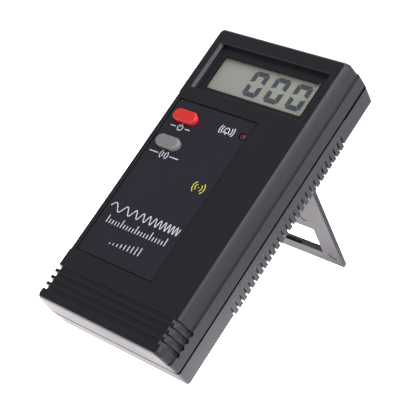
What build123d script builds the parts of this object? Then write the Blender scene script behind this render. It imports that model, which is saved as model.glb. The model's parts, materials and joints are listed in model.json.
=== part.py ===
"""Hand-held electromagnetic field meter, leaning on its fold-out stand.

Every piece is drawn in the case's own frame: X across the case from its middle, Y from the bottom
end to the top end, Z from the back face to the front face. At the end all pieces are leaned back
together, so that the bottom end and the stand's foot share the ground plane.
"""
import os
from math import asin, atan, atan2, cos, degrees, hypot, pi, radians, sin, tan

from build123d import *

# ---- driving dimensions, millimetres and degrees -------------------------------------------------
case_length = 135.0
case_width = 70.0
case_depth = 24.5
half_width = case_width / 2
seam_height = 10.4          # the two halves of the case part here
seam_gap = 1.1              # groove all round between the halves
wall = 2.0
front_skin = 2.2
back_skin = 1.8
front_rim = seam_height + seam_gap / 2
back_rim = seam_height - seam_gap / 2

# outline of each half at a height: (height, side inset, bottom inset, top inset, corner radius);
# a narrow ledge runs along both sides where the shoulders begin
front_levels = [
    (front_rim, 0.0, 0.0, 0.0, 1.5),
    (16.7, 0.25, 0.0, 0.0, 1.5),
    (17.0, 1.1, 0.0, 0.0, 1.5),
    (22.0, 2.0, 0.0, 0.1, 1.5),
    (23.5, 2.75, 0.1, 0.6, 1.5),
    (case_depth, 3.4, 0.5, 1.6, 1.5),
]
back_levels = [
    (0.0, 0.95, 0.35, 0.2, 1.4),
    (back_rim, 0.0, 0.0, 0.0, 1.5),
]
front_edge_radius = 0.4
back_edge_radius = 0.5

# each hollow at a height: (height, side inset, bottom inset, top inset), before the wall is taken off
front_hollow = [
    (front_rim - 1, 0.0, 0.0, 0.0),
    (17.0, 1.1, 0.0, 0.0),
    (case_depth - front_skin, 2.2, 0.1, 0.3),
]
back_hollow = [
    (back_skin, 0.9, 0.3, 0.2),
    (back_rim + 1, 0.0, 0.0, 0.0),
]
hollow_corner = 0.8

# tongue of the back half inside the front half's rim, and the rebate it enters
tongue_inset = 1.25
tongue_corner = 1.5
tongue_root = 1.5           # the tongue reaches this far down inside the back half
tongue_thickness = 0.8
tongue_height = 1.9
tongue_play = 0.1
rebate_corner = 1.6
prising_low, prising_high = 118.0, 134.0    # wider stretch of the seam on the right side
prising_depth = 0.5

# grip grooves across the front, near the bottom end
groove_count = 4
groove_first = 5.0
groove_pitch = 3.03
groove_width = 1.8
groove_depth = 0.9          # into the shoulders
groove_front_depth = 0.5    # into the front face
groove_end_height = 16.6
groove_bevel = 1.9          # the groove's floor slopes in by this at the front edge

# shallow hand relief along the left front shoulder
relief_start = 22.5
relief_end = 101.0
relief_depth = 0.45
relief_reach = 6.0

# grip along both back edges: wedge notches cut into the side, with a tooth between each two that is
# flush with the side and stands proud of the back face
notch_count = 28
notch_first = 32.1
notch_pitch = 2.98
notch_gap = 0.85
notch_top = 6.5
notch_depth = 1.4
tooth_proud = 0.8
tooth_base = 2.5
tooth_root = 1.5

# display recess and the opening in its floor
recess_left, recess_right = -28.0, 28.3
recess_bottom, recess_top = 104.8, 127.5
recess_depth = 2.5
recess_rim = 0.25
recess_slope_width, recess_slope_height = 1.0, 1.25     # slope at the left and right ends
opening_left, opening_right = -24.0, 25.2
opening_bottom, opening_top = 107.6, 123.6
opening_skin = 1.2
window_margin = 1.6
window_thickness = 0.8
window_play = 0.1
window_proud = 0.4          # the window stands above the recess floor by this
window_edge = 0.1
tray_margin = 2.1

# printed label, let into the front face
label_left, label_right = -29.3, 11.8
label_bottom, label_top = 23.4, 98.5
label_recess = 0.7
label_thickness = 0.4
label_gap = 0.45

# press buttons: long slots with round ends
button_x = -20.2
power_y = 90.8
hold_y = 78.0
button_length = 12.0
button_width = 5.5
button_proud = 2.0
button_play = 0.3
button_edge_radius = 1.0
button_base = 21.2
flange_extra = 1.6
flange_thickness = 1.0
button_travel = 1.2
socket_depth = 1.4
plunger_side = 3.0
plunger_foot = 17.0
switch_side = 8.4
switch_height = 5.2

# alarm lamp
led_x, led_y = 9.0, 91.0
led_radius = 1.5
led_play = 0.15
led_base = 19.6
led_leg_spacing = 2.54

# fold-out stand; it is drawn opened
stand_width = 56.0
stand_thickness = 2.0
stand_reach = 58.76         # pivot to foot
stand_open = 81.74          # opening from the folded position
pivot_y = 94.5
pivot_height = 1.6          # above the back face
pin_radius = 0.9
pin_length = 1.3
pin_clearance = 0.06
stand_gap = 0.45
stand_stop_gap = 0.05
foot_radius = 0.3
stand_recess_depth = 2.8
stand_recess_skin = 1.4
stand_window_half = 19.0
stand_window_near, stand_window_far = 37.2, 51.3
window_bevel = 1.5          # the window's foot side slopes away by this towards the inner face
window_land = 0.3           # upright strip left beside the outer face
finger_notch_length, finger_notch_width = 15.6, 3.2
finger_notch_lip = 0.7      # skin left under the notch at the outer face
ejector_marks = [(16.3, 30.5), (24.1, 52.7)]

# nine-volt battery, its connector and its door
battery_left = -25.0
battery_body = 45.5
battery_width = 26.5
battery_depth = 17.5
battery_y = 19.0
battery_low = 3.1
terminal_spacing = 12.7
terminal_height = 2.9
snap_thickness, snap_length, snap_width = 4.5, 24.0, 12.7
snap_play = 0.2
door_width, door_length = 52.0, 27.2
door_y = 18.8
door_thickness = 1.6
door_play = 0.25
door_edge_radius = door_thickness / 2       # the hinge edge is a full round about the hinge line
door_tongue_top = 2.4
door_tongue_reach = 0.9
door_corner_step = 0.6      # the hinge edge stops short of both corners

# circuit board
board_low = 12.6
board_thickness = 1.6
board_high = board_low + board_thickness
board_half_width = 31.0
board_bottom, board_top = 38.5, 126.8

# fasteners
case_screw_places = [(-29.3, 8.0), (29.3, 8.0), (-28.8, 129.8), (28.8, 129.8)]
case_screw_radius = 1.25
case_screw_head = 2.0
case_screw_seat = 7.0
case_screw_shank = 10.5
case_boss_radius = 2.6
case_column_radius = 3.0
board_screw_places = [(-28.0, 42.0), (28.0, 42.0), (-28.0, 99.8), (28.0, 99.8)]
board_screw_radius = 0.95
board_screw_shank = 7.0
board_boss_radius = 2.2
screw_hole_depth = 1.0      # screw holes run this much past the screw's tip
thread_play = 0.05
shank_play = 0.2

pieces = []


def keep(builder, name):
    """Label a finished piece and list it for writing out."""
    builder.part.label = name
    pieces.append(builder.part)


def block(x_range, y_range, z_range, mode=Mode.ADD):
    """Square block between two corners, in the part being built."""
    sizes = [high - low for low, high in (x_range, y_range, z_range)]
    middle = [(low + high) / 2 for low, high in (x_range, y_range, z_range)]
    with Locations(tuple(middle)):
        Box(*sizes, mode=mode)


def post(x, y, low, high, radius, mode=Mode.ADD):
    """Round post or hole along Z, in the part being built."""
    with Locations((x, y, (low + high) / 2)):
        Cylinder(radius, high - low, mode=mode)


def front_side_inset(height):
    """How far the front half's side wall has stepped in at a height."""
    for low, high in zip(front_levels, front_levels[1:]):
        if low[0] <= height <= high[0]:
            return low[1] + (high[1] - low[1]) * (height - low[0]) / (high[0] - low[0])
    return 0.0


def back_side(height):
    """Half width of the back half at a height."""
    low, high = back_levels
    return half_width - low[1] * (1 - height / high[0])


def ring(width, length, radius, thickness, low, high):
    """Closed rectangular ring around the middle of the case."""
    with BuildPart() as band:
        with BuildSketch(Plane.XY.offset(low)):
            with Locations((0, case_length / 2)):
                RectangleRounded(width, length, radius)
                RectangleRounded(
                    width - 2 * thickness, length - 2 * thickness, radius - thickness / 2,
                    mode=Mode.SUBTRACT,
                )
        extrude(amount=high - low)
    return band.part


# ---- cutters for the front half ------------------------------------------------------------------
groove_floor = [(half_width - front_side_inset(groove_end_height) - groove_depth, groove_end_height)]
for height, side, bottom, top, radius in front_levels[1:-2]:
    groove_floor.append((half_width - side - groove_depth, height))
groove_floor.append((half_width - front_levels[-1][1] - groove_bevel, case_depth - groove_front_depth))
above_case = case_depth + 5

with BuildPart() as groove_cutter:
    for number in range(groove_count):
        groove_y = groove_first + number * groove_pitch
        with BuildSketch(Plane.XZ.offset(-groove_y)):
            with Locations((0, (groove_end_height + above_case) / 2)):
                Rectangle(case_width + 10, above_case - groove_end_height)
            with BuildLine():
                right_side = groove_floor
                left_side = [(-x, z) for x, z in reversed(groove_floor)]
                Polyline(*right_side, *left_side, close=True)
            make_face(mode=Mode.SUBTRACT)
        extrude(amount=groove_width / 2, both=True)
        # round ends on both shoulders
        for side in (-1, 1):
            with Locations((side * (groove_floor[0][0] + 5), groove_y, groove_end_height)):
                Cylinder(groove_width / 2, 10, rotation=(0, 90, 0))

shoulder_run = front_levels[-1][1] - front_levels[2][1]
shoulder_rise = front_levels[-1][0] - front_levels[2][0]
shoulder_length = hypot(shoulder_run, shoulder_rise)
relief_shift = relief_depth * shoulder_length / shoulder_rise
relief_top_x = -(half_width - front_levels[-1][1] - relief_shift)
relief_outer_x = relief_top_x - relief_reach
relief_low = case_depth - relief_reach * shoulder_rise / shoulder_run

with BuildPart() as relief_cutter:
    with BuildSketch(Plane.XZ.offset(-relief_start)):
        with BuildLine():
            Polyline(
                (relief_top_x, case_depth), (relief_outer_x, case_depth), (relief_outer_x, relief_low),
                close=True,
            )
        make_face()
    extrude(amount=-(relief_end - relief_start))

# ---- front half of the case ----------------------------------------------------------------------
opening_size = (opening_right - opening_left, opening_top - opening_bottom)
opening_middle = ((opening_right + opening_left) / 2, (opening_top + opening_bottom) / 2)
recess_floor = case_depth - recess_depth
window_top = recess_floor - opening_skin
window_low = window_top - window_thickness
window_size = (opening_size[0] + 2 * window_margin, opening_size[1] + 2 * window_margin)
label_size = (label_right - label_left, label_top - label_bottom)
label_middle = ((label_right + label_left) / 2, (label_top + label_bottom) / 2)
front_inner = case_depth - front_skin

with BuildPart() as front_case:
    for height, side, bottom, top, radius in front_levels:
        with BuildSketch(Plane.XY.offset(height)):
            with Locations((0, (case_length + bottom - top) / 2)):
                RectangleRounded(case_width - 2 * side, case_length - bottom - top, radius)
    loft(ruled=True)
    fillet(front_case.edges().group_by(Axis.Z)[-1], radius=front_edge_radius)
    # hollow inside
    for height, side, bottom, top in front_hollow:
        with BuildSketch(Plane.XY.offset(height)):
            with Locations((0, (case_length + bottom - top) / 2)):
                RectangleRounded(
                    case_width - 2 * side - 2 * wall, case_length - bottom - top - 2 * wall, hollow_corner,
                )
    loft(ruled=True, mode=Mode.SUBTRACT)
    # rebate for the back half's tongue
    with BuildSketch(Plane.XY.offset(front_rim - 1)):
        with Locations((0, case_length / 2)):
            rebate_inset = tongue_inset - tongue_play
            RectangleRounded(
                case_width - 2 * rebate_inset, case_length - 2 * rebate_inset, rebate_corner,
            )
    extrude(amount=1 + tongue_height - seam_gap + tongue_play, mode=Mode.SUBTRACT)
    # tray under the display recess
    block(
        (recess_left - tray_margin, recess_right + tray_margin),
        (recess_bottom - tray_margin, recess_top + tray_margin),
        (window_low, front_inner + 0.1),
    )
    with BuildSketch(Plane.XZ.offset(-recess_bottom)):
        slope_low = case_depth - recess_slope_height
        with BuildLine():
            Polyline(
                (recess_left, above_case), (recess_left, case_depth),
                (recess_left + recess_slope_width, slope_low), (recess_left + recess_slope_width, recess_floor),
                (recess_right - recess_slope_width, recess_floor), (recess_right - recess_slope_width, slope_low),
                (recess_right, case_depth), (recess_right, above_case),
                close=True,
            )
        make_face()
    extrude(amount=-(recess_top - recess_bottom), mode=Mode.SUBTRACT)
    rim_edges = (
        front_case.edges().filter_by(Axis.X)
        .filter_by_position(Axis.Z, case_depth - 0.01, case_depth + 0.01)
        .filter_by_position(Axis.Y, recess_bottom - 0.01, recess_top + 0.01)
    )
    chamfer(rim_edges, length=recess_rim)
    with BuildSketch(Plane.XY.offset(window_low)):
        with Locations(opening_middle):
            RectangleRounded(*opening_size, 0.4)
    extrude(amount=recess_floor - window_low, mode=Mode.SUBTRACT)
    with BuildSketch(Plane.XY.offset(window_low)):
        with Locations(opening_middle):
            Rectangle(window_size[0] + 2 * window_play, window_size[1] + 2 * window_play)
    extrude(amount=window_thickness, mode=Mode.SUBTRACT)
    # bosses for the case screws and the board screws
    for x, y in case_screw_places:
        post(x, y, front_rim, front_inner + 0.1, case_boss_radius)
        hole_top = case_screw_seat + case_screw_shank + screw_hole_depth
        post(x, y, front_rim, hole_top, case_screw_radius + thread_play, Mode.SUBTRACT)
    for x, y in board_screw_places:
        post(x, y, board_high, front_inner + 0.1, board_boss_radius)
        hole_top = board_low + board_screw_shank + screw_hole_depth
        post(x, y, board_high, hole_top, board_screw_radius + thread_play, Mode.SUBTRACT)
    # label recess, button slots and lamp hole
    with BuildSketch(Plane.XY.offset(case_depth - label_recess)):
        with Locations(label_middle):
            RectangleRounded(*label_size, 0.8)
    extrude(amount=label_recess + 1, mode=Mode.SUBTRACT)
    with BuildSketch(Plane.XY.offset(front_inner - 1)):
        with Locations((button_x, power_y), (button_x, hold_y)):
            SlotOverall(button_length + 2 * button_play, button_width + 2 * button_play)
        with Locations((led_x, led_y)):
            Circle(led_radius + led_play)
    extrude(amount=front_skin + 2, mode=Mode.SUBTRACT)
    add(groove_cutter.part, mode=Mode.SUBTRACT)
    add(relief_cutter.part, mode=Mode.SUBTRACT)
keep(front_case, "front_case")

# ---- back half of the case -----------------------------------------------------------------------
stand_half = stand_width / 2
recess_half = stand_half + stand_gap
stand_lean = radians(90 - stand_open)       # opened stand, away from square to the back
plate_half = stand_thickness / 2
# the recess ends in a slope that the opened stand's outer face rests on
stop_distance = plate_half + stand_stop_gap
stop_at_back = pivot_y + stop_distance / cos(stand_lean) - pivot_height * tan(stand_lean)
stop_at_floor = stop_at_back + stand_recess_depth * tan(stand_lean)
recess_start = pivot_y - stand_reach - stand_gap

with BuildPart() as back_case:
    for height, side, bottom, top, radius in back_levels:
        with BuildSketch(Plane.XY.offset(height)):
            with Locations((0, (case_length + bottom - top) / 2)):
                RectangleRounded(case_width - 2 * side, case_length - bottom - top, radius)
    loft(ruled=True)
    fillet(back_case.edges().group_by(Axis.Z)[0], radius=back_edge_radius)
    # grip teeth behind the back face, and the notches between them
    with BuildSketch(Plane.XZ.offset(-(notch_first + notch_gap / 2))):
        with BuildLine():
            Polyline(
                (back_side(tooth_root), tooth_root), (back_side(-tooth_proud), -tooth_proud),
                (back_side(0) - tooth_base, -tooth_proud), (back_side(0) - tooth_base, tooth_root),
                close=True,
            )
        make_face()
    tooth = extrude(amount=-(notch_pitch - notch_gap), mode=Mode.PRIVATE)
    with BuildSketch(Plane.XZ.offset(-(notch_first - notch_gap / 2))):
        with BuildLine():
            Polyline(
                (back_side(notch_top), notch_top), (back_side(0) - notch_depth, -tooth_proud),
                (half_width + 1, -tooth_proud), (half_width + 1, notch_top),
                close=True,
            )
        make_face()
    notch = extrude(amount=-notch_gap, mode=Mode.PRIVATE)
    for number in range(notch_count):
        with Locations((0, number * notch_pitch, 0)):
            add(notch, mode=Mode.SUBTRACT)
            add(notch.mirror(Plane.YZ), mode=Mode.SUBTRACT)
    for number in range(notch_count - 1):
        with Locations((0, number * notch_pitch, 0)):
            add(tooth)
            add(tooth.mirror(Plane.YZ))
    # hollow inside
    for height, side, bottom, top in back_hollow:
        with BuildSketch(Plane.XY.offset(height)):
            with Locations((0, (case_length + bottom - top) / 2)):
                RectangleRounded(
                    case_width - 2 * side - 2 * wall, case_length - bottom - top - 2 * wall, hollow_corner,
                )
    loft(ruled=True, mode=Mode.SUBTRACT)
    # tongue that enters the front half, and the wider slot for prising the halves apart
    add(ring(
        case_width - 2 * tongue_inset, case_length - 2 * tongue_inset, tongue_corner, tongue_thickness,
        back_rim - tongue_root, back_rim + tongue_height,
    ))
    block(
        (half_width - tongue_inset + tongue_play, half_width + 1), (prising_low, prising_high),
        (back_rim - prising_depth, back_rim + 0.1), Mode.SUBTRACT,
    )
    # raised floor over the stand recess
    block(
        (-recess_half - stand_recess_skin, recess_half + stand_recess_skin),
        (recess_start - stand_recess_skin, stop_at_floor + stand_recess_skin),
        (0.6, stand_recess_depth + stand_recess_skin),
    )
    with BuildSketch(Plane.YZ.offset(-recess_half)):
        with BuildLine():
            Polyline(
                (recess_start, -1), (recess_start, stand_recess_depth), (stop_at_floor, stand_recess_depth),
                (stop_at_back - tan(stand_lean), -1),
                close=True,
            )
        make_face()
    extrude(amount=2 * recess_half, mode=Mode.SUBTRACT)
    # holes for the stand's pins
    with Locations((0, pivot_y, pivot_height)):
        Cylinder(
            pin_radius + pin_clearance, stand_width + 2 * pin_length + 0.3,
            rotation=(0, 90, 0), mode=Mode.SUBTRACT,
        )
    # battery bay: rib above the recess edge, ledges beside the door, opening for the door
    block((-25, 18), (recess_start - stand_recess_skin, recess_start), (3.5, 10.0))
    for side in (-1, 1):
        low, high = sorted((side * 25.4, side * 27.8))
        block((low, high), (13, 30), (back_skin - 0.1, 2.5))
    with BuildSketch(Plane.XY.offset(-1)):
        with Locations((0, door_y)):
            RectangleRounded(door_width + 2 * door_play, door_length + 2 * door_play, 1.2)
    extrude(amount=1 + back_skin, mode=Mode.SUBTRACT)
    # columns for the case screws
    for x, y in case_screw_places:
        post(x, y, back_skin / 2, front_rim - 0.15, case_column_radius)
        post(x, y, -1, case_screw_seat, case_screw_head + shank_play, Mode.SUBTRACT)
        post(x, y, -1, front_rim, case_screw_radius + shank_play, Mode.SUBTRACT)
keep(back_case, "back_case")

# ---- battery door --------------------------------------------------------------------------------
door_top = door_y + door_length / 2
door_bottom = door_y - door_length / 2
door_hinge_y = door_top - door_edge_radius
door_hinge_height = door_edge_radius
tongue_places = (-15.0, 15.0)

with BuildPart() as battery_door:
    with BuildSketch():
        with Locations((0, (door_bottom + door_hinge_y) / 2)):
            Rectangle(door_width, door_hinge_y - door_bottom)
    extrude(amount=door_thickness)
    fillet(battery_door.edges().filter_by(Axis.Z).group_by(Axis.Y)[0], radius=1.0)
    chamfer(battery_door.faces().sort_by(Axis.Z)[0].edges().group_by(Axis.Y)[0], length=0.25)
    with Locations((0, door_hinge_y, door_hinge_height)):
        Cylinder(door_edge_radius, door_width - 2 * door_corner_step, rotation=(0, 90, 0))
    # tongues under the case's skin, and the catch at the other edge
    for x in tongue_places:
        block((x - 3, x + 3), (door_top - 2, door_top), (door_hinge_height, door_tongue_top))
        block(
            (x - 3, x + 3), (door_top - 0.5, door_top + door_tongue_reach),
            (back_skin + 0.1, door_tongue_top),
        )
    block((-4, 4), (door_bottom + 0.2, door_bottom + 1.2), (door_thickness, 2.6))
    # finger grooves across the outer face
    for number in range(5):
        groove_middle = door_bottom + 3.5 + 1.8 * number
        with BuildSketch(Plane.XY):
            with Locations((0, groove_middle)):
                SlotOverall(18, 0.9)
        extrude(amount=0.5, mode=Mode.SUBTRACT)
keep(battery_door, "battery_door")

# ---- fold-out stand, drawn opened ----------------------------------------------------------------
open_direction = radians(-180 + stand_open)     # from the pivot to the foot, in the YZ plane
inner_normal = open_direction - pi / 2
stand_plane = Plane(
    origin=(0, pivot_y, pivot_height), x_dir=(1, 0, 0),
    z_dir=(0, cos(inner_normal), sin(inner_normal)),
)
stand_side_plane = Plane(
    origin=(0, pivot_y, pivot_height), x_dir=(0, cos(open_direction), sin(open_direction)), z_dir=(1, 0, 0),
)
with BuildPart() as tilt_stand:
    with BuildSketch(stand_plane.offset(-plate_half)):
        with Locations((0, -stand_reach / 2)):
            Rectangle(stand_width, stand_reach)
        with Locations((0, -(stand_window_near + stand_window_far) / 2)):
            RectangleRounded(
                2 * stand_window_half, stand_window_far - stand_window_near, 0.5, mode=Mode.SUBTRACT,
            )
    extrude(amount=stand_thickness)
    foot_edges = tilt_stand.edges().filter_by(Axis.X).sort_by(Axis.Z)
    chamfer(foot_edges[0], length=0.7)
    fillet(foot_edges[1], radius=foot_radius)
    # rounded heel on the pivot line, and the pins
    with Locations((0, pivot_y, pivot_height)):
        Cylinder(plate_half, stand_width, rotation=(0, 90, 0))
        Cylinder(pin_radius, stand_width + 2 * pin_length, rotation=(0, 90, 0))
    # sloped foot side of the window
    with BuildSketch(stand_side_plane.offset(-stand_window_half)):
        with BuildLine():
            Polyline(
                (stand_window_far - 1, -plate_half), (stand_window_far + window_bevel, -plate_half),
                (stand_window_far, plate_half - window_land), (stand_window_far - 1, plate_half - window_land),
                close=True,
            )
        make_face()
    extrude(amount=2 * stand_window_half, mode=Mode.SUBTRACT)
    # finger notch in the foot bar and round ejector marks
    with BuildSketch(stand_plane.offset(finger_notch_lip - plate_half)):
        with Locations((0, -stand_window_far)):
            SlotOverall(finger_notch_length, finger_notch_width)
    extrude(amount=stand_thickness, mode=Mode.SUBTRACT)
    with BuildSketch(stand_plane.offset(plate_half - 0.15)):
        for x, along in ejector_marks:
            with Locations((x, -along), (-x, -along)):
                Circle(2.2)
    extrude(amount=1, mode=Mode.SUBTRACT)
keep(tilt_stand, "tilt_stand")

# ---- label, window, buttons, lamp ----------------------------------------------------------------
label_low = case_depth - label_recess

with BuildPart() as face_label:
    with BuildSketch(Plane.XY.offset(label_low)):
        with Locations(label_middle):
            RectangleRounded(label_size[0] - 2 * label_gap, label_size[1] - 2 * label_gap, 0.7)
        with Locations((button_x, power_y), (button_x, hold_y)):
            SlotOverall(button_length + 2 * button_play, button_width + 2 * button_play, mode=Mode.SUBTRACT)
        with Locations((led_x, led_y)):
            Circle(led_radius + led_play, mode=Mode.SUBTRACT)
    extrude(amount=label_thickness)
keep(face_label, "face_label")

with BuildPart() as display_window:
    with BuildSketch(Plane.XY.offset(window_low)):
        with Locations(opening_middle):
            RectangleRounded(*window_size, 0.5)
    extrude(amount=window_thickness)
    with BuildSketch(Plane.XY.offset(window_top)):
        with Locations(opening_middle):
            RectangleRounded(opening_size[0] - 2 * window_play, opening_size[1] - 2 * window_play, 0.3)
    extrude(amount=opening_skin + window_proud)
    chamfer(display_window.edges().group_by(Axis.Z)[-1], length=window_edge)
keep(display_window, "display_window")


def press_button(name, y):
    """Cap with a retaining flange, and a square socket for the switch's plunger."""
    with BuildPart() as button:
        with BuildSketch(Plane.XY.offset(button_base)):
            with Locations((button_x, y)):
                SlotOverall(button_length + flange_extra, button_width + flange_extra)
        extrude(amount=flange_thickness)
        with BuildSketch(Plane.XY.offset(button_base)):
            with Locations((button_x, y)):
                SlotOverall(button_length, button_width)
        extrude(amount=case_depth + button_proud - button_base)
        fillet(button.edges().group_by(Axis.Z)[-1], radius=button_edge_radius)
        socket_half = plunger_side / 2 + 0.05
        block(
            (button_x - socket_half, button_x + socket_half), (y - socket_half, y + socket_half),
            (button_base, button_base + socket_depth), Mode.SUBTRACT,
        )
    keep(button, name + "_button")


def push_switch(name, y):
    """Switch body on the board with a square well, and the plunger that works in it."""
    top = board_high + switch_height
    half = switch_side / 2
    with BuildPart() as body:
        block((button_x - half, button_x + half), (y - half, y + half), (board_high, top))
        fillet(body.edges().filter_by(Axis.Z), radius=0.5)
        well_half = plunger_side / 2 + 0.2
        block(
            (button_x - well_half, button_x + well_half), (y - well_half, y + well_half),
            (plunger_foot - button_travel - 0.3, top), Mode.SUBTRACT,
        )
    keep(body, name + "_switch")
    with BuildPart() as plunger:
        half = plunger_side / 2
        block(
            (button_x - half, button_x + half), (y - half, y + half),
            (plunger_foot, button_base + socket_depth),
        )
        chamfer(plunger.edges().group_by(Axis.Z)[0], length=0.3)
    keep(plunger, name + "_plunger")


for button_name, button_y in (("power", power_y), ("hold", hold_y)):
    press_button(button_name, button_y)
    push_switch(button_name, button_y)

with BuildPart() as alarm_led:
    post(led_x, led_y, led_base, led_base + 1.0, led_radius + 0.35)
    post(led_x, led_y, led_base, case_depth - led_radius + 0.2, led_radius)
    with Locations((led_x, led_y, case_depth - led_radius + 0.2)):
        Sphere(led_radius)
keep(alarm_led, "alarm_led")

with BuildPart() as led_legs:
    for side in (-1, 1):
        post(led_x + side * led_leg_spacing / 2, led_y, board_low - 0.8, led_base, 0.25)
keep(led_legs, "led_legs")

# ---- display stack -------------------------------------------------------------------------------
glass_top = window_low - 0.1
glass_thickness = 2.2
glass_size = (53.2, 20.8)
frame_wall = 1.2
glass_low = glass_top - glass_thickness

with BuildPart() as lcd_glass:
    with BuildSketch(Plane.XY.offset(glass_low)):
        with Locations(opening_middle):
            Rectangle(*glass_size)
    extrude(amount=glass_thickness)
    # the front glass stops short of the contact edges
    for side in (-1, 1):
        edge = opening_middle[1] + side * glass_size[1] / 2
        inner = edge - side * 2.0
        block(
            (opening_left - 10, opening_right + 10), tuple(sorted((edge, inner))),
            (glass_top - 1.1, glass_top), Mode.SUBTRACT,
        )
keep(lcd_glass, "lcd_glass")

with BuildPart() as lcd_frame:
    with BuildSketch(Plane.XY.offset(board_high)):
        with Locations(opening_middle):
            RectangleRounded(glass_size[0] + 2 * frame_wall + 0.2, glass_size[1] + 2 * frame_wall + 0.2, 0.8)
            Rectangle(glass_size[0] + 0.2, glass_size[1] + 0.2, mode=Mode.SUBTRACT)
    extrude(amount=glass_top - board_high)
keep(lcd_frame, "lcd_frame")

with BuildPart() as zebra_strips:
    with BuildSketch(Plane.XY.offset(board_high)):
        strip_shift = glass_size[1] / 2 - 1.3
        with Locations(
            (opening_middle[0], opening_middle[1] - strip_shift),
            (opening_middle[0], opening_middle[1] + strip_shift),
        ):
            Rectangle(50, 2.2)
    extrude(amount=glass_low - board_high)
keep(zebra_strips, "zebra_strips")

# ---- circuit board and what is soldered to it ----------------------------------------------------
with BuildPart() as circuit_board:
    with BuildSketch(Plane.XY.offset(board_low)):
        with Locations((0, (board_bottom + board_top) / 2)):
            RectangleRounded(2 * board_half_width, board_top - board_bottom, 1.0)
        with Locations(*board_screw_places):
            Circle(1.15, mode=Mode.SUBTRACT)
        for side in (-1, 1):
            with Locations((led_x + side * led_leg_spacing / 2, led_y)):
                Circle(0.35, mode=Mode.SUBTRACT)
    extrude(amount=board_thickness)
keep(circuit_board, "circuit_board")

converter_place = (16.0, 74.0)
converter_side = 10.0
lead_pitch = 0.8
leads_per_side = 11

with BuildPart() as converter_chip:
    with BuildSketch(Plane.XY.offset(board_high + 0.2)):
        with Locations(converter_place):
            Rectangle(converter_side, converter_side)
    extrude(amount=2.0)
    chamfer(converter_chip.edges().group_by(Axis.Z)[-1], length=0.2)
    # straight leads on all four sides
    for number in range(leads_per_side):
        along = (number - (leads_per_side - 1) / 2) * lead_pitch
        for side in (-1, 1):
            reach = side * (converter_side / 2 + 0.7)
            with Locations(
                (converter_place[0] + along, converter_place[1] + reach, board_high + 0.3),
            ):
                Box(0.35, 1.6, 0.6)
            with Locations(
                (converter_place[0] + reach, converter_place[1] + along, board_high + 0.3),
            ):
                Box(1.6, 0.35, 0.6)
keep(converter_chip, "converter_chip")

amplifier_places = [(2.0, 62.0), (2.0, 50.0)]
with BuildPart() as amplifier_chips:
    for x, y in amplifier_places:
        block((x - 1.95, x + 1.95), (y - 4.35, y + 4.35), (board_high + 0.1, board_high + 1.6))
        for number in range(7):
            lead_y = y + (number - 3) * 1.27
            block((x - 3.0, x + 3.0), (lead_y - 0.2, lead_y + 0.2), (board_high, board_high + 0.5))
keep(amplifier_chips, "amplifier_chips")

with BuildPart() as resistors:
    with Locations((17, 60, board_high + 0.25)):
        with GridLocations(4.0, 3.0, 4, 3):
            Box(2.0, 1.25, 0.5)
    with Locations((-6, 46, board_high + 0.25)):
        with GridLocations(3.5, 3.0, 2, 2):
            Box(2.0, 1.25, 0.5)
keep(resistors, "resistors")

with BuildPart() as capacitors:
    with Locations((17, 88, board_high + 0.45)):
        with GridLocations(4.0, 3.4, 3, 2):
            Box(2.0, 1.25, 0.9)
    with Locations((10.5, 48, board_high + 0.45)):
        with GridLocations(3.0, 3.4, 1, 3):
            Box(2.0, 1.25, 0.9)
keep(capacitors, "capacitors")

electrolytic_places = [(18.0, 49.0), (25.0, 49.0)]
with BuildPart() as electrolytic_capacitors:
    for x, y in electrolytic_places:
        post(x, y, board_high, board_high + 7.0, 2.5)
    fillet(electrolytic_capacitors.edges().group_by(Axis.Z)[-1], radius=0.4)
keep(electrolytic_capacitors, "electrolytic_capacitors")

trimmer_place = (-4.0, 74.0)
trimmer_side = 6.6
rotor_radius = 2.1
with BuildPart() as trimmer_base:
    with BuildSketch(Plane.XY.offset(board_high)):
        with Locations(trimmer_place):
            RectangleRounded(trimmer_side, trimmer_side, 0.5)
    extrude(amount=3.6)
    post(*trimmer_place, board_high + 1.5, board_high + 4, rotor_radius + 0.06, Mode.SUBTRACT)
keep(trimmer_base, "trimmer_base")

with BuildPart() as trimmer_rotor:
    post(*trimmer_place, board_high + 1.56, board_high + 4.1, rotor_radius)
    block(
        (trimmer_place[0] - 0.35, trimmer_place[0] + 0.35), (trimmer_place[1] - 1.6, trimmer_place[1] + 1.6),
        (board_high + 3.2, board_high + 5), Mode.SUBTRACT,
    )
keep(trimmer_rotor, "trimmer_rotor")

buzzer_place = (-19.0, 57.0)
with BuildPart() as buzzer:
    post(*buzzer_place, board_high, board_high + 6.5, 6.0)
    fillet(buzzer.edges().group_by(Axis.Z)[-1], radius=0.6)
    post(*buzzer_place, board_high + 5, board_high + 7, 1.0, Mode.SUBTRACT)
keep(buzzer, "buzzer")

# ---- pick-up coil and plate, on the back of the board at the top end ----------------------------
coil_y = 119.5
coil_height = 8.0
core_radius = 2.5
core_length = 46.0
winding_radius = 3.9
winding_length = 28.0
clip_places = (-19.0, 19.0)

with BuildPart() as coil_core:
    with Locations((0, coil_y, coil_height)):
        Cylinder(core_radius, core_length, rotation=(0, 90, 0))
keep(coil_core, "coil_core")

with BuildPart() as field_coil:
    with BuildSketch(Plane.YZ.offset(-winding_length / 2)):
        with Locations((coil_y, coil_height)):
            Circle(winding_radius)
            Circle(core_radius, mode=Mode.SUBTRACT)
    extrude(amount=winding_length)
keep(field_coil, "field_coil")

with BuildPart() as coil_clips:
    for x in clip_places:
        block((x - 1.5, x + 1.5), (coil_y - 4.0, coil_y + 4.0), (coil_height - 1.0, board_low))
    with Locations((0, coil_y, coil_height)):
        Cylinder(core_radius, core_length, rotation=(0, 90, 0), mode=Mode.SUBTRACT)
keep(coil_clips, "coil_clips")

with BuildPart() as antenna_plate:
    block((-24, 24), (101, 113), (board_low - 0.3, board_low))
keep(antenna_plate, "antenna_plate")

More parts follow.
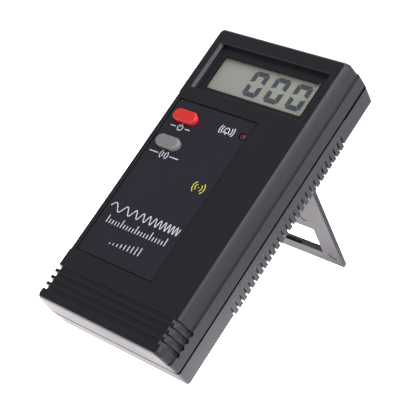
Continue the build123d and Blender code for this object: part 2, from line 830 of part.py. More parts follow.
# ---- battery, connector and leads ----------------------------------------------------------------
battery_high = battery_low + battery_depth
battery_middle_z = (battery_low + battery_high) / 2
battery_right = battery_left + battery_body

with BuildPart() as battery:
    block(
        (battery_left, battery_right), (battery_y - battery_width / 2, battery_y + battery_width / 2),
        (battery_low, battery_high),
    )
    fillet(battery.edges().filter_by(Axis.X), radius=2.0)
keep(battery, "battery")

with BuildPart() as battery_terminals:
    for side, radius in ((-1, 2.85), (1, 4.0)):
        with Locations((battery_right + terminal_height / 2, battery_y + side * terminal_spacing / 2,
                        battery_middle_z)):
            Cylinder(radius, terminal_height, rotation=(0, 90, 0))
keep(battery_terminals, "battery_terminals")

snap_left = battery_right + snap_play
with BuildPart() as battery_snap:
    with BuildSketch(Plane.YZ.offset(snap_left)):
        with Locations((battery_y, battery_middle_z)):
            SlotOverall(snap_length, snap_width)
    extrude(amount=snap_thickness)
    contact_depth = terminal_height - snap_play + 0.05
    for side, radius in ((-1, 3.1), (1, 4.25)):
        with Locations((snap_left, battery_y + side * terminal_spacing / 2, battery_middle_z)):
            Cylinder(radius, 2 * contact_depth, rotation=(0, 90, 0), mode=Mode.SUBTRACT)
keep(battery_snap, "battery_snap")

lead_radius = 0.65
snap_side = battery_y + snap_length / 2
lead_x = snap_left + 2.6


def smooth_radii(points):
    """Largest arcs that the two runs at each corner leave room for."""
    radii = []
    for before, corner, after in zip(points, points[1:], points[2:]):
        run_in = Vector(*corner) - Vector(*before)
        run_out = Vector(*after) - Vector(*corner)
        turn = radians(run_in.get_angle(run_out))
        radii.append(0.45 * min(run_in.length, run_out.length) / tan(turn / 2))
    return radii


def battery_lead(name, points):
    """Insulated lead from the connector to its solder point on the board."""
    radii = smooth_radii(points)
    with BuildPart() as lead:
        with BuildLine() as route:
            FilletPolyline(*points, radius=radii)
        with BuildSketch(Plane(origin=points[0], z_dir=Vector(*points[1]) - Vector(*points[0]))):
            Circle(lead_radius)
        sweep()
    length = sum(edge.length for edge in route.edges())
    share = lead.part.volume / (pi * lead_radius ** 2 * length)
    print(f"{name}: length {length:.1f} mm, radii {[round(r, 1) for r in radii]}, volume share {share:.4f}")
    keep(lead, name)


battery_lead("lead_positive", [
    (lead_x - 1.0, snap_side - 0.6, battery_middle_z + 1.5), (lead_x - 1.3, 36.0, 11.0),
    (19.6, 40.5, 8.6), (16.6, 44.5, 9.2), (15.8, 46.5, board_low),
])
battery_lead("lead_negative", [
    (lead_x - 1.0, snap_side - 0.6, battery_middle_z - 1.5), (lead_x - 1.0, 36.0, 8.2),
    (22.4, 41.5, 6.6), (21.6, 46.8, 8.2), (20.8, 49.0, board_low),
])

with BuildPart() as battery_pad:
    block((-22, 18), (9, 29), (battery_high, front_inner))
    fillet(battery_pad.edges().filter_by(Axis.Z), radius=1.5)
keep(battery_pad, "battery_pad")

# ---- screws --------------------------------------------------------------------------------------


def screws(name, places, seat, head_radius, head_height, shank_radius, shank_length, slot):
    """Group of cross-slotted screws whose heads face the back."""
    with BuildPart() as group:
        for x, y in places:
            post(x, y, seat - head_height, seat, head_radius)
            post(x, y, seat, seat + shank_length, shank_radius)
            long_half = head_radius * 0.6
            for half_x, half_y in ((long_half, slot / 2), (slot / 2, long_half)):
                block(
                    (x - half_x, x + half_x), (y - half_y, y + half_y),
                    (seat - head_height, seat - head_height / 2), Mode.SUBTRACT,
                )
        chamfer(group.edges().filter_by(GeomType.CIRCLE).group_by(Axis.Z)[-1], length=shank_radius * 0.5)
    keep(group, name)


screws(
    "case_screws", case_screw_places, case_screw_seat, case_screw_head, 1.5,
    case_screw_radius, case_screw_shank, 0.6,
)
screws(
    "board_screws", board_screw_places, board_low, 1.7, 1.1,
    board_screw_radius, board_screw_shank, 0.5,
)

# ---- lean everything back on the stand and write it out ------------------------------------------
draft_angle = atan(back_levels[0][2] / back_rim)
edge_centre_y = back_levels[0][2] + back_edge_radius * tan(pi / 4 - draft_angle / 2)
along_stand = stand_reach - foot_radius
across_stand = plate_half - foot_radius
foot_y = pivot_y + along_stand * cos(open_direction) + across_stand * cos(inner_normal)
foot_z = pivot_height + along_stand * sin(open_direction) + across_stand * sin(inner_normal)
step_y = foot_y - edge_centre_y
step_z = foot_z - back_edge_radius
lean = atan2(-step_z, step_y) + asin((foot_radius - back_edge_radius) / hypot(step_y, step_z))

leaned = [Rotation(degrees(lean), 0, 0) * piece for piece in pieces]
outline = Compound(children=leaned).bounding_box()
shift = Location((0, -outline.center().Y, -outline.min.Z))


def stand_place(x, y, z):
    """Where a point of the case frame ends up, in metres."""
    moved_y = y * cos(lean) - z * sin(lean) - outline.center().Y
    moved_z = y * sin(lean) + z * cos(lean) - outline.min.Z
    return [round(value / 1000, 6) for value in (x, moved_y, moved_z)]


os.makedirs("parts", exist_ok=True)
for piece in pieces:
    placed = shift * (Rotation(degrees(lean), 0, 0) * piece)
    placed.label = piece.label
    export_step(placed, f"parts/{piece.label}.step")

print("lean", round(degrees(lean), 3), "size", outline.size)
print("stand pivot", stand_place(0, pivot_y, pivot_height))
print("door hinge", stand_place(0, door_hinge_y, door_hinge_height))
print("trimmer", stand_place(trimmer_place[0], trimmer_place[1], board_high))
print("bottom end", stand_place(0, 0, 16.0))
print("stand window", stand_place(
    0,
    pivot_y + (stand_window_near + stand_window_far) / 2 * cos(open_direction),
    pivot_height + (stand_window_near + stand_window_far) / 2 * sin(open_direction),
))
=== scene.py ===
"""Looks of the hand-held electromagnetic field meter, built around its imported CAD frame. Metres, +Z up."""
import json
from math import cos, pi, radians, sin, tan

import bmesh
import bpy
from mathutils import Matrix, Vector


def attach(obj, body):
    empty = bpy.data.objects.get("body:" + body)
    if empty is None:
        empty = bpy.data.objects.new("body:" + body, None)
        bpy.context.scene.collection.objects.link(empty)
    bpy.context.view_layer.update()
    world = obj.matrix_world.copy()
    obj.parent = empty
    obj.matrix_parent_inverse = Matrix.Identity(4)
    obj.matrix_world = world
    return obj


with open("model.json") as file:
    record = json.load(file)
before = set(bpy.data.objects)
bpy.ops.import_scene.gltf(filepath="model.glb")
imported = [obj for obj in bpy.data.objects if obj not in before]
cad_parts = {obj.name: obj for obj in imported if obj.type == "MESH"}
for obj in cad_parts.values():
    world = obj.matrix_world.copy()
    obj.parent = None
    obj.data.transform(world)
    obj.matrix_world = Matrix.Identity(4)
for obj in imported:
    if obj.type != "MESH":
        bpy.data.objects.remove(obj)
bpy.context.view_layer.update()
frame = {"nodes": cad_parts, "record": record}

nodes = frame["nodes"]
record = frame["record"]
scene = bpy.context.scene
MM = 0.001

# ---- the case's own frame: across, along from the bottom end, out of the front face ---------------
mount = record["mounts"][0]
mount_place = Vector(mount["pos_m"])
along = -Vector(mount["axis"]).normalized()
across = Vector((1, 0, 0))
outward = across.cross(along)
case_axes = Matrix((across, along, outward))
case_to_row = Matrix.Translation(mount_place) @ case_axes.transposed().to_4x4()


def case_box(node):
    """Lowest and highest corner of a CAD node, in the case's frame."""
    points = [case_axes @ (vertex.co - mount_place) for vertex in nodes[node].data.vertices]
    lowest = Vector([min(point[axis] for point in points) for axis in range(3)])
    highest = Vector([max(point[axis] for point in points) for axis in range(3)])
    return lowest, highest


# ---- camera, lights and floor ---------------------------------------------------------------------
view_azimuth = radians(43.70)
view_elevation = radians(28.19)
view_roll = radians(2.90)
view_distance = 0.5068
view_lens = 112.57                      # on a 36 mm wide sensor
view_target = Vector((0.00234, -0.00124, 0.04299))

toward_camera = Vector((
    sin(view_azimuth) * cos(view_elevation), -cos(view_azimuth) * cos(view_elevation), sin(view_elevation),
))
camera_data = bpy.data.cameras.new("camera")
camera_data.sensor_width = 36
camera_data.lens = view_lens
camera_data.clip_start = 0.05
camera_data.clip_end = 20
camera = bpy.data.objects.new("camera", camera_data)
scene.collection.objects.link(camera)
camera.location = view_target + toward_camera * view_distance
level = (-toward_camera).to_track_quat("-Z", "Y").to_matrix().to_4x4()
camera.rotation_euler = (level @ Matrix.Rotation(-view_roll, 4, "Z")).to_euler()
scene.camera = camera
scene.view_settings.view_transform = "Standard"


def soft_light(name, direction, distance, side, watts, colour=(1, 1, 1)):
    """Square soft box that faces the object from a direction."""
    data = bpy.data.lights.new(name, "AREA")
    data.shape = "SQUARE"
    data.size = side
    data.energy = watts
    data.color = colour
    light = bpy.data.objects.new(name, data)
    light.location = Vector(direction).normalized() * distance
    light.rotation_euler = (-Vector(direction)).to_track_quat("-Z", "Y").to_euler()
    scene.collection.objects.link(light)


soft_light("key_light", (0.75, 0.05, 0.74), distance=1.3, side=1.4, watts=22.0, colour=(0.91, 0.95, 1.08))
soft_light("back_light", (-0.2, 0.9, 0.7), distance=1.4, side=0.8, watts=5.0)

horizon_colour = (1.0, 0.98, 1.0, 1)
upper_sky_colour = (0.3, 0.3, 0.31, 1)
upper_sky_starts = 0.45                 # height of the direction, 1 straight up

world = bpy.data.worlds.new("studio")
world.use_nodes = True
scene.world = world
sky = world.node_tree
directions = sky.nodes.new("ShaderNodeTexCoord")
height = sky.nodes.new("ShaderNodeSeparateXYZ")
sky.links.new(directions.outputs["Generated"], height.inputs[0])
ramp = sky.nodes.new("ShaderNodeValToRGB")
ramp.color_ramp.elements[0].position = 0.0
ramp.color_ramp.elements[0].color = horizon_colour
ramp.color_ramp.elements[1].position = upper_sky_starts
ramp.color_ramp.elements[1].color = upper_sky_colour
sky.links.new(height.outputs["Z"], ramp.inputs[0])
sky.links.new(ramp.outputs[0], sky.nodes["Background"].inputs["Color"])
sky.nodes["Background"].inputs["Strength"].default_value = 1.0

floor_side = 8.0
floor_mesh = bpy.data.meshes.new("floor")
floor_builder = bmesh.new()
bmesh.ops.create_grid(floor_builder, x_segments=1, y_segments=1, size=floor_side / 2)
floor_builder.to_mesh(floor_mesh)
floor_builder.free()
floor = bpy.data.objects.new("floor", floor_mesh)
scene.collection.objects.link(floor)


# ---- node trees -----------------------------------------------------------------------------------
bevel_samples = 4
painted_shade_samples = 8
painted_shade_reach = 2 * MM                  # painted shade: gaps narrower than this are painted darker and less shiny
painted_shade_opening = (0.15, 0.6)           # share of open sky, from full painted shade to none
edge_turn = (0.02, 0.25)                # 1 less the cosine of an edge's turn, from unworn to fully worn
usual_specular = 0.5
fine_relief = 0.004 * MM
lcd_speck = 0.18 * MM
lcd_gloss = (0.3, 0.42)


def shade(colour, share):
    """A darker version of a colour."""
    return [channel * share for channel in colour]


class Finish:
    """One material's node tree, with short calls for what the finishes share."""

    def __init__(self, name, roughness=0.5, metallic=0.0, ior=1.5):
        self.material = bpy.data.materials.new(name)
        self.material.use_nodes = True
        self.tree = self.material.node_tree
        self.shader = self.tree.nodes["Principled BSDF"]
        self.shader.inputs["Roughness"].default_value = roughness
        self.shader.inputs["Metallic"].default_value = metallic
        self.shader.inputs["IOR"].default_value = ior
        self.place = self.tree.nodes.new("ShaderNodeTexCoord").outputs["Object"]

    def feed(self, socket, value):
        """Links a socket to another one, or sets its value."""
        if isinstance(value, bpy.types.NodeSocket):
            self.tree.links.new(value, socket)
        else:
            socket.default_value = value

    def node(self, kind, **inputs):
        """New node; its inputs are given by name, as sockets to link or as values."""
        made = self.tree.nodes.new(kind)
        for name, value in inputs.items():
            self.feed(made.inputs[name.replace("_", " ")], value)
        return made

    def stretched(self, stretch):
        """Object coordinates, squeezed along each axis so that a pattern stretches there."""
        scale = [1 / amount for amount in stretch]
        return self.node("ShaderNodeMapping", Vector=self.place, Scale=scale).outputs[0]

    def noise(self, size, detail=2.0, stretch=None, rough=0.5):
        """Cloudy pattern from 0 to 1 with features of a size in metres."""
        place = self.stretched(stretch) if stretch else self.place
        return self.node(
            "ShaderNodeTexNoise", Vector=place, Scale=1 / size, Detail=detail, Roughness=rough,
        ).outputs[0]

    def cells(self, size):
        """Distance pattern of grains of a size in metres."""
        return self.node("ShaderNodeTexVoronoi", Vector=self.place, Scale=1 / size).outputs["Distance"]

    def span(self, value, to, over=(0.0, 1.0)):
        """Maps a value's range onto another one, clamped."""
        made = self.node("ShaderNodeMapRange", Value=value)
        for direction, limits in (("From", over), ("To", to)):
            made.inputs[f"{direction} Min"].default_value = limits[0]
            made.inputs[f"{direction} Max"].default_value = limits[1]
        return made.outputs[0]

    def math(self, operation, first, second):
        """Arithmetic on two numbers or sockets."""
        made = self.tree.nodes.new("ShaderNodeMath")
        made.operation = operation
        self.feed(made.inputs[0], first)
        self.feed(made.inputs[1], second)
        return made.outputs[0]

    def vector_math(self, operation, first, second):
        """Arithmetic on two vectors, with a number as its result."""
        made = self.tree.nodes.new("ShaderNodeVectorMath")
        made.operation = operation
        self.feed(made.inputs[0], first)
        self.feed(made.inputs[1], second)
        return made.outputs["Value"]

    def blend(self, factor, first, second):
        """Colour mix from first to second."""
        made = self.tree.nodes.new("ShaderNodeMix")
        made.data_type = "RGBA"
        self.feed(made.inputs[0], factor)
        for socket, value in ((made.inputs[6], first), (made.inputs[7], second)):
            self.feed(socket, value if isinstance(value, bpy.types.NodeSocket) else (*value, 1))
        return made.outputs[2]

    def distance(self, point):
        """How far each point of the surface is from a fixed one."""
        return self.vector_math("DISTANCE", self.place, point)

    def softened(self, radius):
        """The surface's normal, with every edge rounded to a radius."""
        made = self.node("ShaderNodeBevel", Radius=radius)
        made.samples = bevel_samples
        return made.outputs[0]

    def edges(self, radius):
        """1 on sharp outer and inner edges, within a radius, and 0 on open faces."""
        flat = self.tree.nodes.new("ShaderNodeNewGeometry").outputs["Normal"]
        agreement = self.vector_math("DOT_PRODUCT", self.softened(radius), flat)
        return self.span(self.math("SUBTRACT", 1.0, agreement), (0, 1), over=edge_turn)

    def colour_with_painted_gap_shade(self, in_the_open, painted_shade_colour):
        """Sets the colour, with painted shade in narrow gaps and grooves: darker colour and less shine where
        little open sky reaches.
        """
        sky_share = self.node("ShaderNodeAmbientOcclusion", Distance=painted_shade_reach)
        sky_share.samples = painted_shade_samples
        openness = self.span(sky_share.outputs["AO"], (0, 1), over=painted_shade_opening)
        self.colour(self.blend(openness, painted_shade_colour, in_the_open))
        shine = self.math("MULTIPLY", openness, usual_specular)
        self.feed(self.shader.inputs["Specular IOR Level"], shine)

    def colour(self, value):
        """Sets the base colour."""
        self.feed(self.shader.inputs["Base Color"], value)

    def roughness(self, value):
        """Sets the roughness."""
        self.feed(self.shader.inputs["Roughness"], value)

    def relief(self, height, depth, edge_radius=0.0):
        """Bump of a depth in metres, over edges softened by a radius."""
        bump = self.node("ShaderNodeBump", Height=height, Distance=depth)
        if edge_radius:
            self.feed(bump.inputs["Normal"], self.softened(edge_radius))
        self.feed(self.shader.inputs["Normal"], bump.outputs[0])


def floor_finish():
    """Matt white table lit from below: brightest in the middle, dimmest close by on the right."""
    hot_glow, even_glow, dim_glow = 2.0, 0.66, 0.1
    hot_middle = (-0.06, -0.01, 0)
    finish = Finish("floor_white", roughness=0.9)
    finish.colour(finish.blend(finish.noise(0.4), (0.84, 0.83, 0.84), (0.86, 0.85, 0.86)))
    finish.shader.inputs["Emission Color"].default_value = (1.0, 0.935, 0.965, 1)
    middle = finish.span(finish.distance(hot_middle), (hot_glow, 0.0), over=(0.092, 0.126))
    sideways = finish.node("ShaderNodeSeparateXYZ", Vector=finish.place).outputs["X"]
    near = finish.span(sideways, (even_glow, dim_glow), over=(0.02, 0.10))
    far = finish.span(finish.distance((0, 0, 0)), (0.0, even_glow), over=(0.35, 0.7))
    glow = finish.math("ADD", middle, finish.math("MAXIMUM", near, far))
    finish.feed(finish.shader.inputs["Emission Strength"], glow)
    finish.relief(finish.noise(2 * MM), 0.02 * MM)
    return finish.material


floor.data.materials.append(floor_finish())


def moulded(name, colour, worn, roughness=(0.34, 0.46), grain=0.22 * MM, depth=0.008 * MM, edge=0.25 * MM):
    """Spark-eroded moulded plastic: fine grain, cloudy gloss, edges rubbed lighter and smoother, painted
    shade inside crevices.
    """
    cloud_size, wear_size = 20 * MM, 6 * MM
    # shares of the colour: in the darker clouds, and in the painted shade inside crevices
    cloud_shade, painted_crevice_shade = 0.86, 0.15
    grain_in_gloss, worn_smoother = 0.4, 0.08
    finish = Finish(name)
    cloud = finish.noise(cloud_size, detail=3.0)
    fine = finish.noise(grain, detail=3.0, rough=0.6)
    wear = finish.span(finish.noise(wear_size), (0.3, 1.0))
    rubbed = finish.math("MULTIPLY", finish.edges(edge), wear)
    skin = finish.blend(cloud, shade(colour, cloud_shade), colour)
    # painted shade: darker and less shiny inside crevices
    finish.colour_with_painted_gap_shade(finish.blend(rubbed, skin, worn), shade(colour, painted_crevice_shade))
    mottle = finish.math("ADD", cloud, finish.math("MULTIPLY", fine, grain_in_gloss))
    gloss = finish.span(mottle, roughness, over=(0.3, 1.1))
    finish.roughness(finish.math("SUBTRACT", gloss, finish.math("MULTIPLY", rubbed, worn_smoother)))
    finish.relief(fine, depth, edge)
    return finish.material


def label_film():
    """Dark printed film with a very fine velvet grain, and painted near-black shade in narrow gaps."""
    grain, depth, cloud_size = 0.12 * MM, 0.003 * MM, 30 * MM
    finish = Finish("label_film")
    fine = finish.noise(grain)
    film = finish.blend(finish.noise(cloud_size), (0.0125, 0.0115, 0.0185), (0.015, 0.0138, 0.0215))
    # painted shade: near black inside narrow gaps
    finish.colour_with_painted_gap_shade(film, (0.001, 0.001, 0.001))
    finish.roughness(finish.span(fine, (0.36, 0.46)))
    finish.relief(fine, depth)
    return finish.material


def speckled(name, dim, bright, size, roughness, detail=2.0):
    """Thin uneven layer: screen-printed ink, or a lit segment of the display."""
    finish = Finish(name)
    speck = finish.noise(size, detail=detail)
    finish.colour(finish.blend(speck, dim, bright))
    finish.roughness(finish.span(speck, roughness))
    finish.relief(speck, fine_relief)
    return finish.material


def ink(name, colour):
    """Screen-printed ink."""
    thin_shade = 0.88
    dim = shade(colour, thin_shade)
    return speckled(name, dim, colour, size=0.3 * MM, roughness=(0.42, 0.6), detail=3.0)


def clear_window():
    """Clear acrylic: seen through, with a mirror-like face that has faint wipe marks."""
    wipe_size, acrylic_ior = 4 * MM, 1.49
    finish = Finish("clear_window")
    tree = finish.tree
    tree.nodes.remove(finish.shader)
    wipes = finish.noise(wipe_size, detail=4.0, stretch=(6, 1, 1))
    gloss = tree.nodes.new("ShaderNodeBsdfGlossy")
    finish.feed(gloss.inputs["Roughness"], finish.span(wipes, (0.02, 0.1)))
    gloss.inputs["Color"].default_value = (1, 1, 1, 1)
    through = tree.nodes.new("ShaderNodeBsdfTransparent")
    through.inputs["Color"].default_value = (0.97, 0.98, 0.975, 1)
    facing = tree.nodes.new("ShaderNodeFresnel")
    facing.inputs["IOR"].default_value = acrylic_ior
    side = tree.nodes.new("ShaderNodeNewGeometry")
    outside = finish.math("SUBTRACT", 1.0, side.outputs["Backfacing"])
    both = tree.nodes.new("ShaderNodeMixShader")
    tree.links.new(finish.math("MULTIPLY", facing.outputs[0], outside), both.inputs[0])
    tree.links.new(through.outputs[0], both.inputs[1])
    tree.links.new(gloss.outputs[0], both.inputs[2])
    tree.links.new(both.outputs[0], tree.nodes["Material Output"].inputs["Surface"])
    return finish.material


def lcd_face():
    """Reflective display: green-grey field with the faint speckle of its backing foil."""
    cloud_size = 30 * MM
    finish = Finish("lcd_face")
    speck = finish.noise(lcd_speck)
    field = finish.blend(finish.noise(cloud_size), (0.42, 0.40, 0.33), (0.45, 0.425, 0.355))
    finish.colour(finish.blend(finish.span(speck, (0.0, 0.5)), field, (0.49, 0.47, 0.405)))
    finish.roughness(finish.span(speck, lcd_gloss))
    finish.relief(speck, fine_relief)
    return finish.material


def lamp_epoxy():
    """Dark red tinted lamp."""
    cloud_size = light_reach = 1 * MM
    finish = Finish("lamp_epoxy", ior=1.52)
    cloud = finish.noise(cloud_size)
    finish.colour(finish.blend(cloud, (0.04, 0.004, 0.007), (0.085, 0.006, 0.012)))
    finish.roughness(finish.span(cloud, (0.35, 0.5)))
    finish.shader.inputs["Subsurface Weight"].default_value = 0.3
    finish.shader.inputs["Subsurface Scale"].default_value = light_reach
    finish.shader.inputs["Subsurface Radius"].default_value = (1.0, 0.1, 0.1)
    return finish.material


def solder_mask():
    """Green board: tracks show as paler lines under the mask."""
    track_pitch, track_share, track_depth = 4 * MM, 0.06, 0.03 * MM
    finish = Finish("solder_mask")
    tracks = finish.node(
        "ShaderNodeTexBrick", Vector=finish.place, Scale=1 / track_pitch, Mortar_Size=track_share,
    ).outputs["Fac"]
    finish.colour(finish.blend(tracks, (0.012, 0.10, 0.035), (0.03, 0.19, 0.07)))
    finish.roughness(finish.span(finish.noise(2 * MM), (0.25, 0.4)))
    finish.relief(tracks, track_depth)
    return finish.material


def metal(name, colour, roughness, stretch=None):
    """Plated or drawn metal with fine brushing and dull spots."""
    brush_size, spot_size, spot_shade = 0.4 * MM, 4 * MM, 0.7
    finish = Finish(name, metallic=1.0)
    brushed = finish.noise(brush_size, detail=4.0, stretch=stretch)
    spots = finish.span(finish.noise(spot_size, detail=3.0), (0, 1), over=(0.45, 0.7))
    finish.colour(finish.blend(spots, colour, shade(colour, spot_shade)))
    finish.roughness(finish.span(brushed, roughness))
    finish.relief(brushed, fine_relief)
    return finish.material


def winding():
    """Enamelled copper wire, turn beside turn."""
    turn_pitch, turn_depth = 1.3 * MM, 0.08 * MM
    finish = Finish("winding", metallic=1.0)
    wave = finish.node("ShaderNodeTexWave", Vector=finish.place, Scale=1 / turn_pitch, Distortion=0.4)
    wave.bands_direction = "X"
    turns = wave.outputs["Fac"]
    finish.colour(finish.blend(turns, (0.20, 0.06, 0.02), (0.62, 0.25, 0.10)))
    finish.roughness(finish.span(turns, (0.45, 0.25)))
    finish.relief(turns, turn_depth)
    return finish.material


def battery_can():
    """Printed steel can: dark body with one broad band, no lettering."""
    band_width, scuff_size, seam_radius, seam_depth = 12 * MM, 3 * MM, 0.4 * MM, 0.02 * MM
    finish = Finish("battery_can")
    sideways = finish.node("ShaderNodeSeparateXYZ", Vector=finish.place).outputs["X"]
    band = finish.math("GREATER_THAN", sideways, case_box("battery")[1].x - band_width)
    scuffs = finish.noise(scuff_size, detail=4.0, stretch=(5, 1, 1))
    paint = finish.blend(band, (0.03, 0.035, 0.05), (0.55, 0.33, 0.10))
    scratched = finish.span(scuffs, (0, 0.5), over=(0.62, 0.75))
    finish.colour(finish.blend(scratched, paint, (0.4, 0.4, 0.4)))
    finish.roughness(finish.span(scuffs, (0.22, 0.4)))
    finish.relief(finish.edges(seam_radius), seam_depth)
    return finish.material


def foam():
    """Open-cell foam."""
    pore_size, pore_depth = 0.7 * MM, 0.3 * MM
    finish = Finish("foam", roughness=0.95)
    pores = finish.cells(pore_size)
    finish.colour(finish.blend(pores, (0.015, 0.015, 0.016), (0.07, 0.07, 0.072)))
    finish.relief(pores, pore_depth)
    return finish.material


# ---- each slot's finish ---------------------------------------------------------------------------
black = (0.0098, 0.0096, 0.0122)
rubbed_black = (0.022, 0.022, 0.025)
inner_black = (0.011, 0.011, 0.011)
cap_gloss = (0.28, 0.36)
lead_gloss = (0.35, 0.5)

moulded_looks = {
    "black_abs": dict(colour=black, worn=rubbed_black),
    "door_abs": dict(colour=black, worn=rubbed_black),
    "red_plastic": dict(
        colour=(0.76, 0.030, 0.030), worn=(0.80, 0.09, 0.08), roughness=cap_gloss, depth=fine_relief,
    ),
    "grey_plastic": dict(
        colour=(0.235, 0.232, 0.218), worn=(0.33, 0.33, 0.31), roughness=cap_gloss, depth=fine_relief,
    ),
    "chip": dict(
        colour=(0.014, 0.014, 0.015), worn=(0.05, 0.05, 0.05), roughness=(0.45, 0.6), grain=0.1 * MM,
    ),
    "resistor": dict(colour=(0.02, 0.02, 0.024), worn=(0.3, 0.3, 0.3), roughness=(0.3, 0.4), edge=0.2 * MM),
    "ceramic": dict(colour=(0.36, 0.22, 0.12), worn=(0.5, 0.4, 0.3), roughness=(0.4, 0.55), edge=0.2 * MM),
    "sleeve": dict(colour=(0.012, 0.012, 0.05), worn=(0.05, 0.05, 0.12), roughness=(0.2, 0.3)),
    "trimmer_blue": dict(colour=(0.02, 0.08, 0.36), worn=(0.06, 0.16, 0.5)),
    "trimmer_white": dict(colour=(0.66, 0.65, 0.58), worn=(0.8, 0.79, 0.74)),
    "switch_black": dict(colour=(0.012, 0.012, 0.012), worn=rubbed_black),
    "plunger_white": dict(colour=(0.62, 0.62, 0.57), worn=(0.75, 0.75, 0.72)),
    "buzzer_black": dict(colour=inner_black, worn=rubbed_black, grain=0.4 * MM),
    "ferrite": dict(
        colour=(0.03, 0.03, 0.032), worn=(0.12, 0.12, 0.12), roughness=(0.5, 0.7), grain=0.2 * MM,
    ),
    "clip_nylon": dict(colour=(0.6, 0.58, 0.52), worn=(0.75, 0.73, 0.68)),
    "rubber_strip": dict(colour=(0.36, 0.36, 0.38), worn=(0.4, 0.4, 0.42), roughness=(0.6, 0.75)),
    "frame_black": dict(colour=inner_black, worn=rubbed_black),
    "snap_vinyl": dict(colour=(0.010, 0.010, 0.010), worn=(0.03, 0.03, 0.03), roughness=(0.5, 0.62)),
    "wire_red": dict(colour=(0.42, 0.012, 0.012), worn=(0.5, 0.04, 0.04), roughness=lead_gloss),
    "wire_black": dict(colour=(0.008, 0.008, 0.008), worn=(0.03, 0.03, 0.03), roughness=lead_gloss),
}
slot_finishes = {slot: moulded(slot, **look) for slot, look in moulded_looks.items()}
slot_finishes |= {
    "label_print": label_film(),
    "clear_acrylic": clear_window(),
    "lcd": lcd_face(),
    "led_red": lamp_epoxy(),
    "board": solder_mask(),
    "copper_wire": winding(),
    "tin_plate": metal("tin_plate", (0.66, 0.66, 0.67), (0.25, 0.45), stretch=(8, 1, 1)),
    "battery_can": battery_can(),
    "nickel": metal("nickel", (0.66, 0.62, 0.56), (0.12, 0.3)),
    "foam": foam(),
    "zinc": metal("zinc", (0.55, 0.56, 0.58), (0.22, 0.42)),
}
for material in record["materials"]:
    assert material["slot"] in slot_finishes, material["slot"]
slot_of_node = {part["node"]: part["material_slot"] for part in record["subparts"]}
for name, piece in nodes.items():
    piece.data.materials.clear()
    piece.data.materials.append(slot_finishes[slot_of_node[name]])


# ---- flat pieces on the case ----------------------------------------------------------------------
cap_steps = 5                           # cross-sections in each round end of a stroke
cap_start = 0.3                         # share of a step that the first one is in from the tip


def stroke_sections(path, width):
    """Cross-sections of a round-ended stroke: middle, sideways direction and half width."""
    half = width / 2
    runs = [(after - before).normalized() for before, after in zip(path, path[1:])]
    bends = [(before + after).normalized() for before, after in zip(runs, runs[1:])]
    headings = [runs[0], *bends, runs[-1]]
    turns = [pi / 2 * (1 - (step + cap_start) / cap_steps) for step in range(cap_steps)]
    found = [(path[0] - runs[0] * half * sin(turn), runs[0], half * cos(turn)) for turn in turns]
    found += [(point, heading, half) for point, heading in zip(path, headings)]
    turns.reverse()
    found += [(path[-1] + runs[-1] * half * sin(turn), runs[-1], half * cos(turn)) for turn in turns]
    return [(middle, Vector((-heading.y, heading.x)), reach) for middle, heading, reach in found]


def add_stroke(builder, path, width, low, high):
    """Flat raised stroke along a path."""
    rings = []
    for middle, sideways, reach in stroke_sections(path, width):
        right = middle - sideways * reach
        left = middle + sideways * reach
        corners = ((right, low), (left, low), (left, high), (right, high))
        rings.append([builder.verts.new((point.x, point.y, level)) for point, level in corners])
    for near, far in zip(rings, rings[1:]):
        for side in range(4):
            after = (side + 1) % 4
            builder.faces.new((near[side], near[after], far[after], far[side]))
    builder.faces.new(rings[0][::-1])
    builder.faces.new(rings[-1])


def add_plate(builder, outline, low, high):
    """Flat raised plate inside an outline."""
    bottom = [builder.verts.new((point.x, point.y, low)) for point in outline]
    top = [builder.verts.new((point.x, point.y, high)) for point in outline]
    builder.faces.new(bottom[::-1])
    builder.faces.new(top)
    for index in range(len(outline)):
        after = (index + 1) % len(outline)
        builder.faces.new((bottom[index], bottom[after], top[after], top[index]))


def add_piece(builder, name, material, body):
    """Turns case-frame geometry into a piece that rides on a body."""
    bmesh.ops.recalc_face_normals(builder, faces=builder.faces)
    mesh = bpy.data.meshes.new(name)
    builder.to_mesh(mesh)
    builder.free()
    mesh.transform(case_to_row)
    mesh.materials.append(material)
    piece = bpy.data.objects.new(name, mesh)
    scene.collection.objects.link(piece)
    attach(piece, body)


# ---- printed marks, each drawn in millimetres about its own middle --------------------------------
arc_step = radians(9)


def line(start, end):
    """Path between two points."""
    return [Vector(start), Vector(end)]


def arc(radius, first, last, centre=(0, 0)):
    """Path along an arc, with its angles in degrees."""
    count = max(2, round(abs(radians(last - first)) / arc_step))
    angles = [radians(first + (last - first) * step / count) for step in range(count + 1)]
    return [Vector((centre[0] + radius * cos(angle), centre[1] + radius * sin(angle))) for angle in angles]


def rules(near, far):
    """A level rule on each side."""
    return [line((-far, 0), (-near, 0)), line((near, 0), (far, 0))]


def brackets(radius, reach):
    """An arc on each side, with as many degrees above the middle as below it."""
    return [arc(radius, 180 - reach, 180 + reach), arc(radius, -reach, reach)]


def power_mark():
    """Broken ring with an upright bar, between two rules."""
    ring = arc(1.25, 125, 415)
    bar = line((0, 0.45), (0, 1.7))
    return [ring, bar] + rules(2.6, 4.9)


def hold_mark():
    """Two upright bars inside brackets, between two rules."""
    bars = [line((x, -0.95), (x, 0.95)) for x in (-0.62, 0.62)]
    return bars + brackets(2.0, 50) + rules(3.3, 7.6)


def alarm_mark():
    """Bell with sound arcs."""
    dome = arc(1.0, 180, 0, centre=(0, 0.25))
    rim = line((-1.45, -0.95), (1.45, -0.95))
    waist = line((-1.05, -0.45), (1.05, -0.45))
    bell = [rim[0], waist[0], *dome, waist[1], rim[1]]
    clapper = line((-0.2, -1.6), (0.2, -1.6))
    return [bell, rim, clapper] + brackets(2.5, 35) + brackets(3.6, 30)


def field_mark():
    """Dot with a pair of arcs on each side."""
    dot = line((-0.12, 0), (0.12, 0))
    return [dot] + brackets(1.6, 48) + brackets(2.9, 48)


